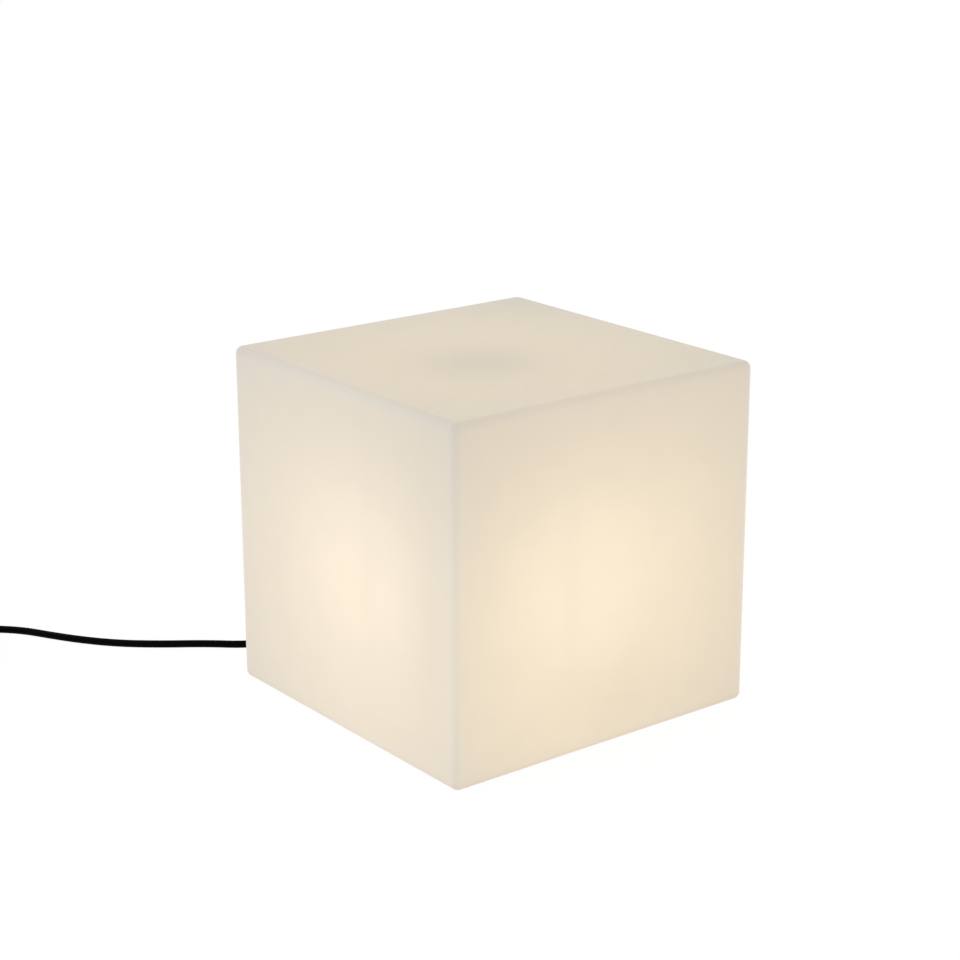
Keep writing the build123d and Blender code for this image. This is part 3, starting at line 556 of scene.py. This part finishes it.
def bell(middle, spread):
    """e to the minus squared distance from middle, each axis measured in its own spread."""
    away = milk.vector("DIVIDE", milk.vector("SUBTRACT", milk.place, middle), spread)
    return fading(milk.measure("DOT_PRODUCT", away, away))


# Painted shade and light: a streak and a patch are painted dimmer, and one streak brighter
painted_shade_and_light = [
    (bell((-0.150, -0.118, 0.120), (0.040, 0.018, 0.062)), (-0.026, -0.022, -0.016)),
    (bell((0.020, -0.150, 0.040), (0.041, 0.040, 0.031)), (-0.038, -0.032, -0.024)),
    (bell((0.076, -0.150, 0.172), (0.022, 0.040, 0.058)), (0.018, 0.015, 0.010)),
]
print("cube wall:", len(painted_shade_and_light), "uneven places")

# %% [markdown]
# ## Colours of the light
# Lamp light is warm, and a wall that scatters it twice, along an edge, lets more of the cool light
# of the room through. So each share of the light has a colour of its own, and they add up. The top
# and the sides are mixed by how far the surface looks up, which gives the rounded edges both.

# %% Colours of the light
def tinted(light, colour, onto):
    """onto + light x colour, with the one number of light given to all three channels."""
    return milk.vector("MULTIPLY_ADD", light, colour, onto)


side_glow = tinted(wide_light, (0.378, 0.300, 0.177), (0.160, 0.124, 0.088))
side_glow = tinted(core_light, (0.061, 0.049, 0.037), side_glow)
side_glow = tinted(shade, (-0.025, -0.017, -0.009), side_glow)
# Painted cool room light and shade near the edges of the sides
side_glow = tinted(edge, (-0.024, 0.002, 0.041), side_glow)
# Painted shade in a thin band at the top and bottom of the sides
side_glow = tinted(rim, (-0.037, -0.035, -0.025), side_glow)
# Painted dimmer and brighter patches on the sides
for place, change in painted_shade_and_light:
    side_glow = tinted(place, change, side_glow)
roof_glow = tinted(roof_spot, (-0.096, -0.063, -0.026), (0.342, 0.249, 0.122))
roof_glow = tinted(roof_loss, (-0.048, -0.027, -0.009), roof_glow)
# Painted cool room light along the top's edges
roof_glow = tinted(edge, (0.012, 0.012, 0.049), roof_glow)
upward = milk.math("ABSOLUTE", milk.parts(milk.facing)[2])
glow = milk.blend(milk.span(upward, 0.52, 1.0, 0.0, 1.0), side_glow, roof_glow)
grain = milk.math("MULTIPLY_ADD", milk.noise(900, detail=2), 0.15, milk.noise(45, detail=2))
milk.set(Emission_Color=milk.vector("MULTIPLY", glow, cloud), Normal=milk.bump(grain, 0.00025),
         Roughness=milk.span(milk.noise(300), 0.3, 0.7, 0.36, 0.48))
dress(milk, "cube_shell")

# %% [markdown]
# ## The floor and the sky
# The picture has a plain white ground with hardly a shadow. More lamps would make it white, but
# they would also drown the glow. So the floor is a white sheet whose brightness, as the camera sees
# it, comes mostly from its own colour. What is left of its shading keeps a faint shadow under the
# cube and the lead.

# %% White floor
def seen_rays(tree):
    """1 for a ray from the camera, a reflection or a glass, and 0 for one that carries light."""
    rays = tree.nodes.new("ShaderNodeLightPath").outputs
    seen = rays["Is Camera Ray"]
    for kind in ("Is Glossy Ray", "Is Transmission Ray"):
        larger = tree.nodes.new("ShaderNodeMath")
        larger.operation = "MAXIMUM"
        tree.links.new(seen, larger.inputs[0])
        tree.links.new(rays[kind], larger.inputs[1])
        seen = larger.outputs[0]
    return seen


bpy.ops.mesh.primitive_plane_add(size=30, location=(0, 0, 0))
floor = bpy.context.object
floor.name = "floor"
# The sheet's own white and the little shading that is mixed in add up to 1
own_share, own_white = 0.95, 1.015
sheet = Finish("white_floor", Base_Color=(0.92, 0.92, 0.92), Roughness=0.9)
white = sheet.node("Emission", {"Color": (1, 1, 1), "Strength": own_white})
share = sheet.math("MULTIPLY", seen_rays(sheet.tree), own_share)
both = sheet.node("MixShader", [share, sheet.shader.outputs[0], white])
sheet.put(sheet.tree.nodes["Material Output"].inputs["Surface"], both)
floor.data.materials.append(sheet.material)
print("floor:", round(floor.dimensions.x), "m wide")

# %% [markdown]
# The sky gives the even light of a studio. Where it is seen, it is as white as the floor, so there
# is no horizon. As a light it is dimmer, so that a colour renders about as it is written.

# %% Sky light
sky_as_light, sky_as_seen = 0.72, 1.0
world = bpy.data.worlds.new("studio")
bpy.context.scene.world = world
world.use_nodes = True
wires = world.node_tree
background = wires.nodes["Background"]
background.inputs["Color"].default_value = (1, 1, 1, 1)
level = wires.nodes.new("ShaderNodeMapRange")
wires.links.new(seen_rays(wires), level.inputs["Value"])
level.inputs["To Min"].default_value = sky_as_light
level.inputs["To Max"].default_value = sky_as_seen
wires.links.new(level.outputs[0], background.inputs["Strength"])
print("sky: white where it is seen,", sky_as_light, "as light")

# %% [markdown]
# ## Lamps in the room
# The left side of the cube looks a little cooler than the right one, as beside a window. Sun lamps
# would draw hard shadows, so two large area lamps stand in: a cool one at the back left, and a
# weak warm one at the front right.

# %% Soft lamps
def soft_lamp(name, place, aim, size, watts, colour):
    """A square area lamp at place, turned so that its face looks at aim."""
    data = bpy.data.lights.new(name, "AREA")
    data.size, data.energy, data.color = size, watts, colour
    lamp = bpy.data.objects.new(name, data)
    way = np.subtract(aim, place)
    rise = math.atan2(way[2], math.hypot(way[0], way[1]))
    lamp.location = place
    lamp.rotation_euler = (math.pi / 2 + rise, 0, math.atan2(way[1], way[0]) - math.pi / 2)
    bpy.context.scene.collection.objects.link(lamp)
    print(name, watts, "W")


cube_middle = (0, 0, half_width)
soft_lamp("window", (-1.7, 1.3, 1.3), cube_middle, 1.4, watts=11.9, colour=(0.576, 0.773, 1.0))
soft_lamp("fill", (1.5, -1.7, 1.1), cube_middle, 1.4, watts=7.4, colour=(1.0, 0.86, 0.48))

# %% [markdown]
# ## White and black mouldings
# The insert is white polypropylene from a mould with a fine spark-eroded skin, so it is satin, with
# a faint cloudiness. The lampholder is black thermoset, smoother and glossier, with a slight flow
# pattern in its shine. All such plastics differ only in a few numbers, so one function makes them.

# %% Moulded plastics
def moulded(name, colour, shade, scale, shine, skin):
    """Moulded plastic: two close colours in soft clouds, patchy shine, and a skin of fine grain."""
    made = Finish(name)
    flow = made.noise(scale, detail=3, Distortion=0.8)
    made.set(Base_Color=made.blend(made.span(flow, 0.3, 0.7, 0.0, 1.0), colour, shade),
             Roughness=made.span(made.noise(4 * scale, detail=4), 0.3, 0.7, *shine),
             Normal=made.bump(made.noise(1600, detail=3), skin))
    return made


insert_white = moulded("white_polypropylene", (0.84, 0.83, 0.80), (0.79, 0.78, 0.75),
                       scale=60, shine=(0.38, 0.50), skin=0.00010)
clamp_nylon = moulded("white_nylon", (0.68, 0.67, 0.62), (0.63, 0.62, 0.57),
                      scale=90, shine=(0.42, 0.55), skin=0.00008)
holder_black = moulded("black_thermoset", (0.020, 0.020, 0.021), (0.028, 0.027, 0.027),
                       scale=110, shine=(0.22, 0.36), skin=0.00001)
brown_core = moulded("brown_core", (0.130, 0.048, 0.020), (0.165, 0.066, 0.028),
                     scale=400, shine=(0.30, 0.42), skin=0.00003)
blue_core = moulded("blue_core", (0.020, 0.085, 0.330), (0.028, 0.110, 0.390),
                    scale=400, shine=(0.30, 0.42), skin=0.00003)
insulator = moulded("black_glass_insulator", (0.012, 0.011, 0.014), (0.024, 0.020, 0.030),
                    scale=500, shine=(0.10, 0.20), skin=0.00003)
porcelain = moulded("white_ceramic", (0.74, 0.72, 0.66), (0.66, 0.63, 0.57),
                    scale=500, shine=(0.45, 0.62), skin=0.00008)
dress(insert_white, "base_housing", "base_lid")
dress(clamp_nylon, "cord_clamp")
dress(holder_black, "holder_dome")
dress(brown_core, "wire_brown")
dress(blue_core, "wire_blue")
dress(insulator, "bulb_insulator")
dress(porcelain, "contact_block")

# %% [markdown]
# ## Metals
# Zinc, brass and nickel differ in colour and in how they are worked. All of them are full metals
# with a fine brushing along one way, and dull spots where they have been handled or have tarnished.
# A scratched picture could be wrapped round them, but noise that is stretched along one axis draws
# the brushing just as well, at any size.

# %% Metal finishes
def plated(name, colour, tarnish, shine, brush=(1, 1, 0.06)):
    """A metal with brushing, stretched along the short way of brush, and tarnish in patches."""
    made = Finish(name, Metallic=1.0)
    lines = made.noise(2400, detail=2, at=made.vector("MULTIPLY", made.place, brush))
    patch = made.noise(260, detail=4)
    worn = made.math("MULTIPLY", made.math("ADD", lines, patch), 0.5)
    made.set(Base_Color=made.blend(made.span(patch, 0.5, 0.8, 0.0, 1.0), colour, tarnish),
             Roughness=made.span(worn, 0.3, 0.7, *shine),
             Normal=made.bump(lines, 0.00002))
    return made


zinc = plated("zinc_screw_steel", (0.62, 0.62, 0.63), (0.42, 0.42, 0.43), (0.24, 0.42))
brass = plated("brass_contact", (0.78, 0.58, 0.28), (0.50, 0.34, 0.15), (0.16, 0.34))
nickel = plated("nickel_pin", (0.70, 0.68, 0.64), (0.52, 0.50, 0.46), (0.12, 0.26),
                brush=(1, 0.06, 1))
cap_metal = plated("nickel_cap", (0.66, 0.66, 0.65), (0.48, 0.48, 0.47), (0.18, 0.34))
fine_wire = plated("bright_wire", (0.60, 0.60, 0.60), (0.40, 0.40, 0.40), (0.20, 0.34))
solder = plated("dull_solder", (0.52, 0.52, 0.53), (0.33, 0.33, 0.34), (0.40, 0.60),
                brush=(0.2, 0.2, 0.2))
dress(zinc, "lid_screws", "clamp_screws", "terminal_screws")
dress(brass, "centre_contact")
dress(nickel, "plug_pins")
dress(fine_wire, "filament_frame")
dress(solder, "bulb_tip")

# %% [markdown]
# ## The threaded nipple
# The tube that carries the lampholder has a fine thread from end to end, and two nuts hold it. Both
# are steel with yellow zinc. The thread sits out of sight inside the nuts and the holder, so a bump
# will do: a sine of the height less the share of a turn, which is a helix.

# %% Nipple and nuts
yellow_zinc = {"colour": (0.66, 0.58, 0.36), "tarnish": (0.48, 0.42, 0.26), "shine": (0.24, 0.40)}
nipple_zinc = plated("yellow_zinc_nipple", **yellow_zinc)
px, py, pz = nipple_zinc.parts(nipple_zinc.place)
turn = nipple_zinc.math("MULTIPLY", nipple_zinc.math("ARCTAN2", py, px), 1 / (2 * math.pi))
# One turn per millimetre of height
phase = nipple_zinc.math("SUBTRACT", nipple_zinc.math("MULTIPLY", pz, 1000), turn)
ridge = nipple_zinc.math("SINE", nipple_zinc.math("MULTIPLY", phase, 2 * math.pi))
nipple_zinc.set(Normal=nipple_zinc.bump(ridge, 0.00030))
nut_zinc = plated("yellow_zinc_nut", **yellow_zinc)
dress(nipple_zinc, "nipple")
dress(nut_zinc, "nipple_nuts")

# %% [markdown]
# ## The lampholder's barrel
# A lampholder's outer tube has upright ribs to grip it by. They could be forty thin boxes round a
# tube, but moulded ribs grow out of it softly. So the radius is a profile along the height, and
# between the lower band and the rim a wave round the turn stands out from it.

# %% Barrel without ribs
def turned(profile, around):
    """Turns a profile of (radius, height) pairs, in mm, about Z: x = r cos a, y = r sin a."""
    turn = np.linspace(0, 2 * np.pi, around, endpoint=False)
    r, h = np.asarray(profile, float).T[:, :, None]
    return np.stack([r * np.cos(turn), r * np.sin(turn), h + 0 * turn], axis=-1)


around, waist_radius = 320, 19.6
barrel_rim = softened([
    (16.0, 40.0), (18.3, 40.0), (18.3, 46.0), (20.5, 46.0), (20.5, 49.0), (waist_radius, 49.9),
    (waist_radius, 75.2), (20.5, 76.1), (20.5, 78.5), (15.0, 78.5), (15.0, 76.1), (16.0, 75.3),
], radius=0.5)
barrel_grid = turned(barrel_rim, around)
print("barrel:", len(barrel_rim), "rows before the ribs")

# %% Ribbed barrel
rib_count, rib_depth = 40, 0.75
# More rows where the ribs run, put in half way along the waist
on_waist = np.nonzero(np.abs(barrel_rim[:, 0] - waist_radius) < 0.01)[0]
split = on_waist[len(on_waist) // 2]
rib_rows = np.linspace(50.6, 74.5, 24)
ribbed = turned(np.column_stack([np.full(len(rib_rows), waist_radius), rib_rows]), around)
turn = np.linspace(0, 2 * np.pi, around, endpoint=False)
run_in_and_out = eased(rib_rows, 50.8, 52.6) * (1 - eased(rib_rows, 72.5, 74.3))
proud = rib_depth * run_in_and_out[:, None] * eased(np.cos(rib_count * turn), -0.2, 0.8)
ribbed[..., :2] *= (1 + proud / waist_radius)[..., None]
barrel_grid = np.concatenate([barrel_grid[:split], ribbed, barrel_grid[split:]])
add_piece("ribbed_barrel", barrel_grid, "lamp_base", holder_black,
          ["holder_barrel"])

# %% [markdown]
# ## Cap and sleeve
# A screw cap is rolled from thin sheet, so the thread shows inside and out. Blender's Screw tool
# could wind a profile, but its ends would need closing. Here the radius follows a cosine of height
# over pitch less the share of a turn, which is a helix, and it joins up with itself after one turn.

# %% Thread formulas
pitch = 3.62


def thread(height, around, middle, depth, low, high):
    """Radius of a rolled thread, faded out below low and above high.

    It is middle + depth cos(2 pi (height / pitch - turn)), with turn from 0 to 1.
    """
    turn = np.linspace(0, 1, around, endpoint=False)
    wave = depth * np.cos(2 * np.pi * (height[:, None] / pitch - turn))
    inside = eased(height, low, low + 2) * (1 - eased(height, high - 2, high))
    return middle + wave * inside[:, None]


def rolled(height, outer, inner):
    """A thin wall: up the outer radius, and back down the inner one."""
    turn = np.linspace(0, 2 * np.pi, outer.shape[1], endpoint=False)
    radius = np.concatenate([outer, inner[::-1]])
    level = np.concatenate([height, height[::-1]])[:, None] + 0 * radius
    return np.stack([radius * np.cos(turn), radius * np.sin(turn), level], axis=-1)


print("thread of", pitch, "mm pitch")

# %% Threaded cap
around, cap_low, cap_high, thread_top, cap_wall = 128, 57.7, 79.7, 73.4, 0.5
collar_radius, neck_room = 12.9, 12.24
mark_height, mark_wide, mark_high, mark_depth = 76.8, 1.1, 0.8, 0.22

height = np.linspace(cap_low, cap_high, 112)
cap_outer = thread(height, around, middle=12.55, depth=0.42, low=58.2, high=thread_top)
# The lower end draws in to the insulator, and the upper end is a plain collar
draw_in, collar = 1 - eased(height, cap_low, 59.4), eased(height, 72.4, 73.6)
cap_outer += (-0.55 * draw_in + 0.40 * collar)[:, None]
# Four punched marks round the collar: bells across the turn and up the height
turn = np.linspace(0, 2 * np.pi, around, endpoint=False)
from_mark = collar_radius * np.arcsin(np.sin(2 * turn)) / 2
mark_across = np.exp(-(from_mark / mark_wide) ** 2)
mark_upward = np.exp(-((height[:, None] - mark_height) / mark_high) ** 2)
cap_outer -= mark_depth * (mark_across * mark_upward)
# The collar leaves room for the glass neck
least = np.where(height > thread_top, neck_room, 0)[:, None]
cap_inner = np.maximum(cap_outer - cap_wall, least)
add_piece("threaded_cap", rolled(height, cap_outer, cap_inner), "bulb", cap_metal,
          ["bulb_cap"])

# %% [markdown]
# The sleeve in the lampholder is the cap's counterpart: brass sheet, rolled with the same pitch, a
# little wider, and with a flange at its foot that sits on the contact block.

# %% Threaded sleeve
height = np.linspace(50.0, 76.0, 128)
sleeve_outer, sleeve_inner = (
    thread(height, around, radius, depth=0.20, low=51.5, high=75.5) for radius in (14.0, 13.6))
flange = 1.7 * (1 - eased(height, 50.35, 50.75))
sleeve_outer += flange[:, None]
add_piece("threaded_sleeve", rolled(height, sleeve_outer, sleeve_inner), "lamp_base",
          brass, ["screw_sleeve"])

# %% [markdown]
# ## The lamp
# The globe is blown from thin clear glass: a neck that fits the cap, an arc that swings out, and a
# ball. A single skin would be cheaper, but light would bend through it as through a solid lump. So
# the profile goes up the outer face and comes back down the inner one.

# %% Glass globe
def glass(name, colour, roughness):
    """Clear glass with slow waves in its surface."""
    made = Finish(name, Base_Color=colour, Transmission_Weight=1.0, IOR=1.5, Roughness=roughness)
    return made.set(Normal=made.bump(made.noise(70, detail=1), 0.00020))


def pear(inset):
    """The globe's outline as (radius, height) pairs: neck, arc and ball, drawn in by inset.

    The arc turns about a middle outside the neck, and the ball about one on the axis. Both are
    middle + radius (cos a, sin a), and they meet at the joint.
    """
    neck_radius = 12.2 - inset
    arc_out, arc_up, arc_radius = 55.82, 79.7, 43.62 + inset
    ball_up, ball_radius = 127.7, 30 - inset
    joint_out, joint_up = 22.75, 108.1
    neck = [(neck_radius, 73.7), (neck_radius, 76.5)]
    a = np.linspace(np.pi, np.pi - math.atan2(joint_up - arc_up, arc_out - joint_out), 24)
    arc = np.column_stack([arc_out + arc_radius * np.cos(a), arc_up + arc_radius * np.sin(a)])
    a = np.linspace(-math.atan2(ball_up - joint_up, joint_out), np.pi / 2, 64)[1:]
    ball = np.column_stack([ball_radius * np.cos(a), ball_up + ball_radius * np.sin(a)])
    return np.concatenate([neck, arc, ball])


glass_wall = 0.8
clear_glass = glass("clear_globe_glass", (0.97, 0.97, 0.95), 0.0)
globe_line = np.concatenate([pear(0.0), pear(glass_wall)[::-1]])
add_piece("glass_globe", turned(globe_line, around=128), "bulb", clear_glass,
          ["bulb_globe"], sharp=60)

# %% [markdown]
# The stem that carries the light rods is a drawn glass tube with a flare at its foot, melted onto
# the globe's neck. It is shown as solid glass, because its bore is too fine to see. The flare's
# radius falls off as a power of the way that is left, which is how soft glass spreads.

# %% Glass stem
stem_radius, foot_radius = 4.0, 10.9
stem_glass = glass("clear_stem_glass", (0.95, 0.96, 0.95), 0.03)
flare = np.linspace(0, 1, 24)
flare_radius = stem_radius + (foot_radius - stem_radius) * (1 - flare) ** 2.2
stem_line = np.concatenate([
    [(0.0, 75.7), (foot_radius, 75.7), (foot_radius, 77.0)],
    np.column_stack([flare_radius, 77.4 + 11.3 * flare]),
    [(stem_radius, 96.0), (stem_radius, 103.9), (3.2, 104.7), (0.0, 104.7)],
])
add_piece("glass_stem", turned(stem_line, around=64), "bulb", stem_glass,
          ["bulb_stem"], loop=False, sharp=50)

# %% [markdown]
# ## The light rods
# Each rod is a thin strip of chips under a coat of yellow phosphor. When it is lit, the chips show
# as brighter dots. They could be modelled, but they are only light and dark, so a sine along the
# rods' height colours their glow.

# %% Light rods
phosphor = Finish("lit_phosphor", Base_Color=(0.60, 0.38, 0.12), Roughness=0.55,
                  Emission_Strength=1.0)
chip_step = 0.0016
rod_height = phosphor.parts(phosphor.place)[2]
chips = phosphor.math("SINE", phosphor.math("MULTIPLY", rod_height, 2 * math.pi / chip_step))
rod_glow = phosphor.blend(phosphor.span(chips, -0.6, 0.9, 0.0, 1.0),
                          (0.92, 0.47, 0.15), (1.0, 0.70, 0.36))
phosphor.set(Emission_Color=rod_glow, Normal=phosphor.bump(phosphor.noise(1200), 0.00010))
dress(phosphor, "led_filaments")
